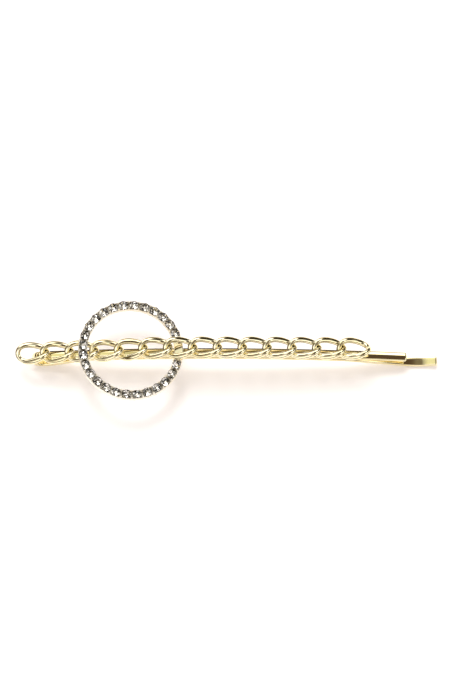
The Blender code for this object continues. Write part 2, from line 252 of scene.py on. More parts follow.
def new_group(name: str, inputs: dict[str, float], outputs: dict[str, str]) -> bpy.types.NodeTree:
    """Starts a shader node group.

    Args:
        name: The group's name.
        inputs: Its number inputs and their usual values.
        outputs: Its outputs and their socket types.

    Returns:
        The group's empty tree, with its sockets.
    """
    group = bpy.data.node_groups.new(name, "ShaderNodeTree")
    for label, value in inputs.items():
        socket = group.interface.new_socket(label, in_out="INPUT", socket_type="NodeSocketFloat")
        socket.default_value = value
    for label, kind in outputs.items():
        group.interface.new_socket(label, in_out="OUTPUT", socket_type=kind)
    return group


@dataclass
class Effects:
    """The surface effects that several finishes share, each a node group built once."""

    hairline_scale: float = 2200.0
    hairline_stretch: tuple[float, float, float] = (0.12, 1.0, 1.0)
    hairline_detail: float = 3.0
    dimple_scale: float = 450.0
    dimple_detail: float = 1.0
    dimple_share: float = 0.6
    haze_spread: tuple[float, float] = (0.45, 0.75)
    cloud_scale: float = 160.0
    speck_scale: float = 1500.0
    plating_detail: float = 2.0
    deep_spread: tuple[float, float] = (0.35, 0.7)
    worn_spread: tuple[float, float] = (0.6, 0.75)

    def __post_init__(self) -> None:
        """Builds the groups."""
        self.polish = self._polish_marks()
        self.plating = self._plating_depth()

    def _polish_marks(self) -> bpy.types.NodeTree:
        """Fine hairlines that polishing leaves, drawn out along the slide, with soft dimples.

        Returns:
            A group that puts out a haze mask and a height.
        """
        group = new_group(
            "polish_marks",
            {
                "Hairline scale": self.hairline_scale,
                "Dimple scale": self.dimple_scale,
                "Dimple share": self.dimple_share,
            },
            {"Haze": "NodeSocketFloat", "Height": "NodeSocketFloat"},
        )
        sheet = Wiring(group)
        given = sheet.add("NodeGroupInput").outputs
        place = sheet.add("ShaderNodeTexCoord").outputs["Object"]
        stretch = {"Vector": place, "Scale": self.hairline_stretch}
        drawn = sheet.add("ShaderNodeMapping", stretch).outputs[0]
        hairlines = sheet.noise(drawn, given["Hairline scale"], self.hairline_detail)
        dimples = sheet.noise(place, given["Dimple scale"], self.dimple_detail)
        haze = sheet.spread(hairlines, *self.haze_spread)
        soft = sheet.math("MULTIPLY", dimples, given["Dimple share"])
        height = sheet.math("ADD", haze, soft)
        sheet.add("NodeGroupOutput", {"Haze": haze, "Height": height})
        return group

    def _plating_depth(self) -> bpy.types.NodeTree:
        """Slow changes in the plating's thickness, and thinner plating on worn high spots.

        Returns:
            A group that puts out a mask of deep colour and one of wear.
        """
        group = new_group(
            "plating_depth",
            {"Cloud scale": self.cloud_scale, "Speck scale": self.speck_scale},
            {"Deep": "NodeSocketFloat", "Worn": "NodeSocketFloat"},
        )
        sheet = Wiring(group)
        given = sheet.add("NodeGroupInput").outputs
        place = sheet.add("ShaderNodeTexCoord").outputs["Object"]
        clouds = sheet.noise(place, given["Cloud scale"], self.plating_detail)
        specks = sheet.noise(place, given["Speck scale"], self.plating_detail)
        deep = sheet.spread(clouds, *self.deep_spread)
        worn = sheet.spread(specks, *self.worn_spread)
        sheet.add("NodeGroupOutput", {"Deep": deep, "Worn": worn})
        return group


@dataclass(frozen=True)
class GoldFinish:
    """A bright plated metal."""

    name: str
    colour: tuple[float, float, float]
    deep_colour: tuple[float, float, float]
    worn_colour: tuple[float, float, float] = (0.98, 0.95, 0.86)
    worn_share: float = 0.5
    roughness: float = 0.06
    # Painted shade: the dark colour that stands in for shadow and dark reflection where a piece
    # notes it.
    painted_shade_colour: tuple[float, float, float] = (0.1, 0.07, 0.035)
    haze: float = 0.07
    relief: float = 0.0005 * MM

    def build(self, effects: Effects) -> bpy.types.Material:
        """Builds the material.

        Args:
            effects: The shared node groups.

        Returns:
            The finished material.
        """
        made, sheet = new_look(self.name)
        polish = sheet.add("ShaderNodeGroup", node_tree=effects.polish)
        plating = sheet.add("ShaderNodeGroup", node_tree=effects.plating)
        tone = sheet.mix(plating.outputs["Deep"], (*self.colour, 1), (*self.deep_colour, 1))
        worn = sheet.math("MULTIPLY", plating.outputs["Worn"], self.worn_share)
        bright = sheet.mix(worn, tone, (*self.worn_colour, 1))
        # Painted shade: the colour goes towards the dark shaded colour as the piece's shade
        # attribute says.
        shaded = sheet.add("ShaderNodeAttribute", attribute_name=PAINTED_SHADE).outputs["Fac"]
        colour = sheet.mix(shaded, bright, (*self.painted_shade_colour, 1))
        rough = sheet.math("MULTIPLY_ADD", polish.outputs["Haze"], self.haze, self.roughness)
        relief = {"Height": polish.outputs["Height"], "Distance": self.relief, "Strength": 1.0}
        normal = sheet.add("ShaderNodeBump", relief).outputs[0]
        sheet.surface(
            {"Base Color": colour, "Metallic": 1.0, "Roughness": rough, "Normal": normal}
        )
        return made


@dataclass(frozen=True)
class GlassFinish:
    """Clear cut glass."""

    name: str = "cut_glass"
    colour: tuple[float, float, float] = (1.0, 0.995, 0.98)
    roughness: float = 0.01
    index: float = 1.6

    def build(self) -> bpy.types.Material:
        """Builds the material of the crown, which lets light in and out.

        Returns:
            The finished material.
        """
        made, sheet = new_look(self.name)
        sheet.surface(
            {
                "Base Color": (*self.colour, 1),
                "Metallic": 0.0,
                "Roughness": self.roughness,
                "IOR": self.index,
                "Transmission Weight": 1.0,
            }
        )
        return made


@dataclass(frozen=True)
class FoilFinish:
    """The silver foil behind a cut stone, each facet painted dark, grey or bright as a painted
    reflection.
    """

    name: str = "stone_foil"
    colour: tuple[float, float, float] = (1.0, 0.99, 0.97)
    # Painted reflection: the near black of facets that stand in for mirrored dark surroundings.
    dark_reflection_colour: tuple[float, float, float] = (0.05, 0.045, 0.04)
    dull_colour: tuple[float, float, float] = (0.8, 0.78, 0.75)
    cloud_scale: float = 900.0
    cloud_detail: float = 2.0
    dull_spread: tuple[float, float] = (0.5, 0.7)
    roughness: float = 0.02
    dull_roughness: float = 0.06

    def build(self) -> bpy.types.Material:
        """Builds the material of the pavilion.

        Returns:
            The finished material.
        """
        made, sheet = new_look(self.name)
        place = sheet.add("ShaderNodeTexCoord").outputs["Object"]
        clouds = sheet.noise(place, self.cloud_scale, self.cloud_detail)
        dull = sheet.spread(clouds, *self.dull_spread)
        # Painted reflections: each facet's tone picks dark, grey or bright.
        tone = sheet.add("ShaderNodeAttribute", attribute_name=PAINTED_REFLECTION).outputs["Fac"]
        facet = sheet.mix(tone, (*self.dark_reflection_colour, 1), (*self.colour, 1))
        clouded = sheet.math("MULTIPLY", dull, tone)
        colour = sheet.mix(clouded, facet, (*self.dull_colour, 1))
        rough = sheet.math("MULTIPLY_ADD", dull, self.dull_roughness, self.roughness)
        sheet.surface({"Base Color": colour, "Metallic": 1.0, "Roughness": rough})
        return made


def smooth_step(share: np.ndarray) -> np.ndarray:
    """0 below 0, 1 above 1, and an even S-curve 3s^2 - 2s^3 between.

    Args:
        share: Any numbers.

    Returns:
        The curve's values.
    """
    share = np.clip(share, 0.0, 1.0)
    return share * share * (3 - 2 * share)


def signed_power(values: np.ndarray, power: float) -> np.ndarray:
    """Raises the size of each value to a power and keeps its sign."""
    return np.sign(values) * np.abs(values) ** power


def quad_grid(rows: int, columns: int, wrap_rows: bool, wrap_columns: bool) -> np.ndarray:
    """The quads between neighbouring points of a grid.

    Args:
        rows: Number of rows of points.
        columns: Number of points in a row.
        wrap_rows: Whether the last row joins the first.
        wrap_columns: Whether the last point of a row joins its first.

    Returns:
        Four point numbers for each quad.
    """
    i = np.arange(rows if wrap_rows else rows - 1)
    j = np.arange(columns if wrap_columns else columns - 1)
    i, j = (a.ravel() for a in np.meshgrid(i, j, indexing="ij"))
    after = (i + 1) % rows
    beside = (j + 1) % columns
    corners = (i * columns + j, after * columns + j, after * columns + beside, i * columns + beside)
    return np.stack(corners, axis=-1)


def mesh_object(
    name: str,
    points: np.ndarray,
    faces: list,
    looks: list[bpy.types.Material],
    looks_of_faces: np.ndarray | None = None,
    sharp_angle: float | None = None,
) -> bpy.types.Object:
    """Puts points and faces into a new object at the origin.

    Args:
        name: The object's name.
        points: Its points, one row of x, y and z each.
        faces: The point numbers of each face.
        looks: Its materials.
        looks_of_faces: The material number of each face, or None for the first.
        sharp_angle: Edges turned more than this stay sharp; None shades all smooth.

    Returns:
        The object.
    """
    mesh = bpy.data.meshes.new(name)
    mesh.from_pydata(points.reshape(-1, 3).tolist(), [], faces)
    mesh.shade_smooth()
    if sharp_angle is not None:
        mesh.set_sharp_from_angle(angle=sharp_angle)
    for look in looks:
        mesh.materials.append(look)
    if looks_of_faces is not None:
        mesh.polygons.foreach_set("material_index", looks_of_faces.astype(np.int32))
    made = bpy.data.objects.new(name, mesh)
    bpy.context.scene.collection.objects.link(made)
    return made


def note_values(piece: bpy.types.Object, name: str, domain: str, values: np.ndarray) -> None:
    """Stores one number at each point or face of a piece, for its finish to read.

    Args:
        piece: The piece.
        name: The attribute's name.
        domain: "POINT" or "FACE".
        values: The numbers, in the mesh's order.
    """
    noted = piece.data.attributes.new(name, "FLOAT", domain)
    noted.data.foreach_set("value", values.astype(np.float32).ravel())


def swept_tube(name: str, rings: np.ndarray, look: bpy.types.Material) -> bpy.types.Object:
    """A closed tube through rings of points, each end closed by a fan to its middle.

    Args:
        name: The object's name.
        rings: The points, by ring, by place round the ring, by x, y and z.
        look: Its material.

    Returns:
        The object.
    """
    count, around = rings.shape[:2]
    first = count * around
    start_fan = [(first, (j + 1) % around, j) for j in range(around)]
    last_ring = (count - 1) * around
    end_fan = [(first + 1, last_ring + j, last_ring + (j + 1) % around) for j in range(around)]
    middles = rings[[0, -1]].mean(axis=1)
    points = np.concatenate([rings.reshape(-1, 3), middles])
    quads = quad_grid(count, around, wrap_rows=False, wrap_columns=True)[:, ::-1]
    return mesh_object(name, points, quads.tolist() + start_fan + end_fan, [look])


def node_points(node: bpy.types.Object) -> np.ndarray:
    """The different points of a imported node's mesh.

    Args:
        node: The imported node.

    Returns:
        Its points, one row each.
    """
    points = np.empty(len(node.data.vertices) * 3, np.float32)
    node.data.vertices.foreach_get("co", points)
    return np.unique(points.reshape(-1, 3).astype(float).round(POINT_DIGITS), axis=0)


def dress(piece: bpy.types.Object, body: Body, slot: Slot, *nodes: str) -> None:
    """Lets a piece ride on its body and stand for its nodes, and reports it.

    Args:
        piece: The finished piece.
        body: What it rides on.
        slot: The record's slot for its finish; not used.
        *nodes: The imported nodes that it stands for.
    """
    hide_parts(*nodes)
    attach(piece, body.value)
    log.info("%s on %s: %d faces", piece.name, body.value, len(piece.data.polygons))


@dataclass
class SprungPin:
    """One strip of spring steel, bent back on itself at the left and arched upwards.

    Along is a distance to the right of the arch's crown.
    """

    hinge: Vector
    upper_end_x: float
    lower_end_x: float
    look: bpy.types.Material
    strip_width: float = 1.8 * MM
    strip_thickness: float = 0.95 * MM
    arch_radius: float = 320.0 * MM
    bend_to_crown: float = 35.3 * MM
    bend_opening: float = 2.3 * MM
    leg_gap: float = 0.12 * MM
    pinch_length: float = 11.0 * MM
    flare_before_end: float = 14.0 * MM
    tip_length: float = 4.6 * MM
    tip_slope: float = 0.065
    tip_flat_length: float = 3.9 * MM
    tip_easing: float = 0.35 * MM
    curl_length: float = 4.6 * MM
    curl_slope: float = 0.18
    end_rounding: float = 0.3 * MM
    end_narrowing: float = 0.45
    end_rows: int = 7
    bare_length: float = 6.8 * MM
    # Painted shade on the far top edge of the upper leg under the chain, for its shadow and dark
    # reflection.
    edge_shade_from: float = 0.42
    edge_shade_full: float = 0.62
    edge_shade_low: float = 0.2
    edge_shade_high: float = 0.45
    edge_shade_fade: float = 1.0 * MM
    row_step: float = 0.35 * MM
    bend_rows: int = 49
    flex_from: float = 0.8 * math.pi
    flex_to: float = 1.2 * math.pi
    section_points: int = 40
    section_power: float = 3.0
    tip_power: float = 8.0

    def __post_init__(self) -> None:
        """Works out the bend and where the crown lies from the hinge line."""
        self.middle_radius = (self.strip_thickness + self.bend_opening) / 2
        self.outer_radius = self.middle_radius + self.strip_thickness / 2
        self.bend_along = self.outer_radius - self.bend_to_crown
        self.lean = self.bend_along / self.arch_radius
        crown = np.zeros(2)
        outermost = self.bend_point(np.array([math.pi]), self.outer_radius, crown)[0]
        self.crown = np.array([self.hinge.x, self.hinge.z]) - outermost
        self.upper_end = self._along_of(self.upper_end_x)
        self.lower_end = self._along_of(self.lower_end_x)
        self.tip_z = self.strip_thickness / 2

    def _along_of(self, x: float) -> float:
        """Along of a place on the arch with this x."""
        return self.arch_radius * math.asin((x - self.crown[0]) / self.arch_radius)

    def arch_point(self, along: np.ndarray, above: np.ndarray, crown: np.ndarray) -> np.ndarray:
        """Points above the arch: crown + (R + above)(sin t, cos t) - (0, R), with t = along / R.

        Args:
            along: Distances along the arch.
            above: Heights above its middle line.
            crown: (x, z) of the crown.

        Returns:
            (x, z) of each point.
        """
        turn = along / self.arch_radius
        reach = self.arch_radius + above
        x = reach * np.sin(turn)
        z = reach * np.cos(turn) - self.arch_radius
        return crown + np.stack([x, z], axis=-1)

    def bend_point(self, angle: np.ndarray, radius: float, crown: np.ndarray) -> np.ndarray:
        """Points round the bend: its centre + radius (cos a, sin a), turned with the arch there.

        Args:
            angle: Angles round the bend, from a quarter to three quarters of a turn.
            radius: The distance from the bend's centre.
            crown: (x, z) of the crown.

        Returns:
            (x, z) of each point.
        """
        below = np.array(-self.middle_radius)
        centre = self.arch_point(np.array(self.bend_along), below, crown)
        turned = angle - self.lean
        return centre + radius * np.stack([np.cos(turned), np.sin(turned)], axis=-1)

    def lower_line(self, along: np.ndarray) -> np.ndarray:
        """Points of the lower leg: open at the bend, closed on the upper leg, then flared.

        Its depth under the arch shrinks with an S-curve over the pinch length, and its height
        goes with another S-curve to that of the tip. The tip comes down at an even slope, eased
        into a flat with ln(1 + e^d), and its end curls up as the square of the distance.

        Args:
            along: Distances along the arch.

        Returns:
            (x, z) of each point.
        """
        drop = self.strip_thickness + self.leg_gap
        closing = smooth_step((along - self.bend_along) / self.pinch_length)
        opening = (self.bend_opening - self.leg_gap) * (1 - closing)
        line = self.arch_point(along, -drop - opening, self.crown)
        flare_start = self.upper_end - self.flare_before_end
        tip_start = self.lower_end - self.tip_length
        flare = smooth_step((along - flare_start) / (tip_start - flare_start))
        before_flat = (self.lower_end - self.tip_flat_length - along) / self.tip_easing
        slope = self.tip_slope * self.tip_easing * np.logaddexp(0.0, before_flat)
        into_curl = np.clip(along - self.lower_end + self.curl_length, 0.0, None)
        curl = self.curl_slope * into_curl**2 / (2 * self.curl_length)
        line[:, 1] += (self.tip_z + slope + curl - line[:, 1]) * flare
        return line

    def strip_rings(
        self, line: np.ndarray, round_end: bool, flatness: np.ndarray | None = None
    ) -> np.ndarray:
        """Rings round the strip: a superellipse |y/a|^n + |h/b|^n = 1, square to the line.

        A free end is rounded by shrinking the last rings by a quarter of an ellipse.

        Args:
            line: (x, z) of the strip's middle line.
            round_end: Whether the last point is a free end.
            flatness: How far n goes from its usual value to that of the pressed tip, by ring.

        Returns:
            The rings' points.
        """
        ahead = np.gradient(line, axis=0)
        ahead /= np.linalg.norm(ahead, axis=1, keepdims=True)
        length = np.concatenate([[0.0], np.cumsum(np.linalg.norm(np.diff(line, axis=0), axis=1))])
        shrink = np.ones(len(line))
        if round_end:
            into = np.clip(1 - (length[-1] - length) / self.end_rounding, 0.0, 1.0)
            shrink = 1 - self.end_narrowing * (1 - np.sqrt(1 - into**2))
        turn = np.linspace(0, 2 * math.pi, self.section_points, endpoint=False)
        flat = np.zeros(len(line)) if flatness is None else flatness
        power = 2 / (self.section_power + (self.tip_power - self.section_power) * flat[:, None])
        across = signed_power(np.cos(turn), power) * self.strip_width / 2
        over = signed_power(np.sin(turn), power) * self.strip_thickness / 2
        x = line[:, 0, None] - ahead[:, 1, None] * over * shrink[:, None]
        y = self.hinge.y + across * shrink[:, None]
        z = line[:, 1, None] + ahead[:, 0, None] * over * shrink[:, None]
        return np.stack([x, y + np.zeros_like(x), z], axis=-1)

    def side_shade(self, rows: np.ndarray) -> np.ndarray:
        """How dark the far top edge is painted under the chain, as painted shade for the chain's
        shadow and dark reflection, with S-curves at its bounds.

        Args:
            rows: The places of the rings along the arch.

        Returns:
            The shade of each point, with the two end points' last.
        """
        turn = np.linspace(0, 2 * math.pi, self.section_points, endpoint=False)
        across = signed_power(np.cos(turn), 2 / self.section_power)
        over = signed_power(np.sin(turn), 2 / self.section_power)
        # Painted shade: the far top rounding is darkened where the chain lies over it.
        side = smooth_step((across - self.edge_shade_from) / (self.edge_shade_full - self.edge_shade_from))
        side *= smooth_step((over - self.edge_shade_low) / (self.edge_shade_high - self.edge_shade_low))
        under_chain = smooth_step((self.upper_end - self.bare_length - rows) / self.edge_shade_fade)
        shade = under_chain[:, None] * side
        return np.concatenate([shade.ravel(), np.zeros(2)])

    def rows(self, start: float, end: float) -> np.ndarray:
        """Places a row step apart, with closer ones at the free end: r (1 - sin a) before it.

        Args:
            start: Where they start along the arch.
            end: Where the free end lies.

        Returns:
            The places.
        """
        steps = math.ceil(abs(end - start) / self.row_step)
        run = np.linspace(start, end - self.end_rounding, steps)
        turn = np.linspace(0, math.pi / 2, self.end_rows + 1)[1:]
        return np.concatenate([run, end - self.end_rounding * (1 - np.sin(turn))])

    def build(self) -> None:
        """Builds the two legs and the bend between them."""
        upper_rows = self.rows(self.bend_along, self.upper_end)
        upper_line = self.arch_point(upper_rows, np.zeros(1), self.crown)
        upper = swept_tube("upper_leg", self.strip_rings(upper_line, True), self.look)
        # Painted shade along the far top edge under the chain.
        note_values(upper, PAINTED_SHADE, "POINT", self.side_shade(upper_rows))
        dress(upper, Body.UPPER, Slot.PIN, "pin_upper_leg")

        lower_rows = self.rows(self.bend_along, self.lower_end)
        into_tip = lower_rows - self.lower_end + self.tip_length
        pressed = smooth_step(into_tip / self.tip_flat_length + 1)
        lower_rings = self.strip_rings(self.lower_line(lower_rows), True, pressed)
        lower = swept_tube("lower_leg", lower_rings, self.look)
        dress(lower, Body.LOWER, Slot.PIN, "pin_lower_leg")

        angles = np.linspace(math.pi / 2, 3 * math.pi / 2, self.bend_rows)
        bend_line = self.bend_point(angles, self.middle_radius, self.crown)
        bend = swept_tube("flexing_bend", self.strip_rings(bend_line, False), self.look)
        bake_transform(bend)
        log.info("%s: %d faces", bend.name, len(bend.data.polygons))


@dataclass
class CurbChain:
    """Twisted oval links lying along the upper leg, and the solder under the lifted ones."""

    link_nodes: dict[str, bpy.types.Object]
    solder_nodes: dict[str, bpy.types.Object]
    look: bpy.types.Material
    solder_look: bpy.types.Material
    link_length: float = 6.93 * MM
    link_width: float = 4.75 * MM
    wire_diameter: float = 0.98 * MM
    wire_side_width: float = 1.28 * MM
    wire_roll: float = math.radians(14)
    link_rows: int = 120
    wire_points: int = 40
    wire_power: float = 2.2
    # Painted shade and dark reflection: inside each link, and outside its left end.
    inner_facing: tuple[float, float] = (-0.9, -0.44)
    shade_from: float = 0.72
    shade_full: float = 0.95
    shade_depth: float = 0.75
    outer_shade_from: float = 0.3
    outer_shade_full: float = 0.6
    left_end_shade_from: float = 0.75
    solder_waist_share: float = 0.72
    solder_rows: int = 17
    solder_points: int = 32

    def link_rings(self, twist: float) -> np.ndarray:
        """Rings round a link's wire, with the link flat on the ground plane about the origin.

        The wire's middle line is (a cos t, b sin t, -twist sin 2t). Round it runs a
        superellipse |u/w|^n + |v/h|^n = 1, flattened as on a pressed curb link. It is wider at
        the link's sides, where it also rolls outwards.

        Args:
            twist: How far the middle line rises and falls.

        Returns:
            The rings' points.
        """
        half_length = (self.link_length - self.wire_diameter) / 2
        half_width = (self.link_width - self.wire_side_width) / 2
        t = np.linspace(0, 2 * math.pi, self.link_rows, endpoint=False)[:, None]
        rise = -twist * np.sin(2 * t)
        climb = -2 * twist * np.cos(2 * t)
        middle = np.concatenate([half_length * np.cos(t), half_width * np.sin(t), rise], axis=1)
        ahead = np.concatenate([-half_length * np.sin(t), half_width * np.cos(t), climb], axis=1)
        ahead /= np.linalg.norm(ahead, axis=1, keepdims=True)
        outward = np.cross(ahead, [0, 0, 1])
        outward /= np.linalg.norm(outward, axis=1, keepdims=True)
        upward = np.cross(outward, ahead)
        side = np.sin(t) ** 2
        roll = self.wire_roll * side
        across = outward * np.cos(roll) - upward * np.sin(roll)
        over = upward * np.cos(roll) + outward * np.sin(roll)
        broad = (self.wire_diameter + (self.wire_side_width - self.wire_diameter) * side**2) / 2
        turn = np.linspace(0, 2 * math.pi, self.wire_points, endpoint=False)
        power = 2 / self.wire_power
        wide = (across * broad)[:, None] * signed_power(np.cos(turn), power)[None, :, None]
        high = (over * self.wire_diameter / 2)[:, None]
        high = high * signed_power(np.sin(turn), power)[None, :, None]
        return middle[:, None] + wide + high

    def wire_shade(self) -> np.ndarray:
        """How much painted shade the plating gets, for shadow and dark reflection: most inside the
        link, and outside its left end, beside the link before.

        With the angle a round the wire, u cos a + v sin a is 1 inside the link, where (u, v) is
        the inner facing, and cos a is 1 outside it. Both are spread with S-curves.

        Returns:
            The shade of each point of a link.
        """
        t = np.linspace(0, 2 * math.pi, self.link_rows, endpoint=False)[:, None]
        turn = np.linspace(0, 2 * math.pi, self.wire_points, endpoint=False)
        # Painted shade: inside the link, and outside its left end next to the link before.
        inward = self.inner_facing[0] * np.cos(turn) + self.inner_facing[1] * np.sin(turn)
        inside = smooth_step((inward - self.shade_from) / (self.shade_full - self.shade_from))
        outside = smooth_step((np.cos(turn) - self.outer_shade_from) / (self.outer_shade_full - self.outer_shade_from))
        left_end = smooth_step((-np.cos(t) - self.left_end_shade_from) / (1 - self.left_end_shade_from))
        return self.shade_depth * np.maximum(inside, outside * left_end)

    def link_axes(self, points: np.ndarray) -> tuple[np.ndarray, np.ndarray]:
        """Where a packed link lies.

        A link looks the same after half a turn about each of its own axes, so these are the
        main directions in which its points spread.

        Args:
            points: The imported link's points.

        Returns:
            Its middle, and its long, wide and flat directions as the rows of a table.
        """
        middle = (points.max(axis=0) + points.min(axis=0)) / 2
        spread = np.linalg.eigh(np.cov((points - middle).T))[1].T[::-1]
        long = spread[0] * np.sign(spread[0, 0])
        flat = spread[2] * np.sign(spread[2, 2])
        return middle, np.stack([long, np.cross(flat, long), flat])

    def build(self) -> None:
        """Builds every link and every solder joint."""
        for name, node in sorted(self.link_nodes.items()):
            points = node_points(node)
            middle, axes = self.link_axes(points)
            flat_reach = np.ptp((points - middle) @ axes[2])
            twist = (flat_reach - self.wire_diameter) / 2
            rings = self.link_rings(twist) @ axes + middle
            quads = quad_grid(self.link_rows, self.wire_points, wrap_rows=True, wrap_columns=True)
            piece = mesh_object(name.replace("chain", "curb"), rings, quads.tolist(), [self.look])
            # Painted shade and dark reflection on the wire.
            note_values(piece, PAINTED_SHADE, "POINT", self.wire_shade())
            dress(piece, Body.UPPER, Slot.CHAIN, name)
        for name in sorted(self.solder_nodes):
            self.build_solder(name)

    def build_solder(self, name: str) -> None:
        """A drop of solder with a drawn-in waist: its radius follows a cosine over its height.

        Args:
            name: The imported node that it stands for.
        """
        low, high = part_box(name)
        middle = (low + high) / 2
        half = (high - low) / 2
        level = np.linspace(-1, 1, self.solder_rows)[:, None]
        waist = 1 - (1 - self.solder_waist_share) * np.cos(level * math.pi / 2)
        turn = np.linspace(0, 2 * math.pi, self.solder_points, endpoint=False)[None]
        x = middle.x + half.y * waist * np.cos(turn)
        y = middle.y + half.y * waist * np.sin(turn)
        z = middle.z + half.z * level + np.zeros_like(turn)
        rings = np.stack([x, y, z], axis=-1)
        piece = swept_tube(name.replace("joint", "drop"), rings, self.solder_look)
        dress(piece, Body.UPPER, Slot.SOLDER, name)


@dataclass
class CutStone:
    """A round cut stone: table, stars, kites, girdle and a pointed, foil-backed pavilion."""

    diameter: float = 1.84 * MM
    table_share: float = 0.56
    star_share: float = 0.79
    crown_height: float = 0.3 * MM
    girdle: float = 0.05 * MM
    pavilion_depth: float = 0.56 * MM
    pavilion_share: float = 0.3
    sides: int = 8

    def levels(self) -> list[tuple[float, float, float, int]]:
        """(radius, height, turn as a share of a side, corners) of each ring of corners.

        The star's and the pavilion's corners lie where the planes of two neighbouring main
        facets meet, so that every facet comes out flat.

        Returns:
            The rings of corners, from the table down.
        """
        radius = self.diameter / 2
        inward = math.cos(math.pi / self.sides)
        table = radius * self.table_share
        star = radius * self.star_share
        keel = radius * self.pavilion_share
        star_height = self.crown_height * (radius - star * inward) / (radius - table)
        keel_depth = self.pavilion_depth * (radius - keel * inward) / radius
        return [
            (table, self.girdle + self.crown_height, 0.0, self.sides),
            (star, self.girdle + star_height, 0.5, self.sides),
            (radius, self.girdle, 0.0, 2 * self.sides),
            (radius, 0.0, 0.0, 2 * self.sides),
            (keel, -keel_depth, 0.5, self.sides),
        ]

    def facets(self) -> tuple[np.ndarray, list[tuple[int, ...]], np.ndarray]:
        """The stone's corners and facets, with its girdle's lower edge at height 0.

        Returns:
            Corners, facets, and 1 for each facet that has foil behind it.
        """
        rings = []
        for radius, height, turn, count in self.levels():
            angle = 2 * math.pi * (np.arange(count) / count + turn / self.sides)
            level = np.full(count, height)
            rings.append(np.stack([radius * np.cos(angle), radius * np.sin(angle), level], axis=-1))
        rings.append(np.array([[0.0, 0.0, -self.pavilion_depth]]))
        starts = np.cumsum([0] + [len(ring) for ring in rings])
        table, star, upper, lower, keel, culet = starts[:6]
        n = self.sides
        faces = [tuple(table + np.arange(n))]
        for k in range(n):
            after = (k + 1) % n
            before = (k - 1) % n
            ahead = (2 * k + 2) % (2 * n)
            faces.append((table + k, star + k, table + after))
            faces.append((table + k, star + before, upper + 2 * k, star + k))
            faces.append((star + k, upper + 2 * k, upper + 2 * k + 1))
            faces.append((star + k, upper + 2 * k + 1, upper + ahead))
            faces.append((upper + 2 * k, lower + 2 * k, lower + 2 * k + 1, upper + 2 * k + 1))
            faces.append((upper + 2 * k + 1, lower + 2 * k + 1, lower + ahead, upper + ahead))
            faces.append((lower + 2 * k, keel + k, lower + 2 * k + 1))
            faces.append((lower + 2 * k + 1, keel + k, lower + ahead))
            faces.append((lower + 2 * k, keel + before, culet, keel + k))
        whole = [tuple(int(i) for i in face) for face in faces]
        backed = np.array([any(i >= keel for i in face) for face in whole], int)
        return np.concatenate(rings), whole, backed


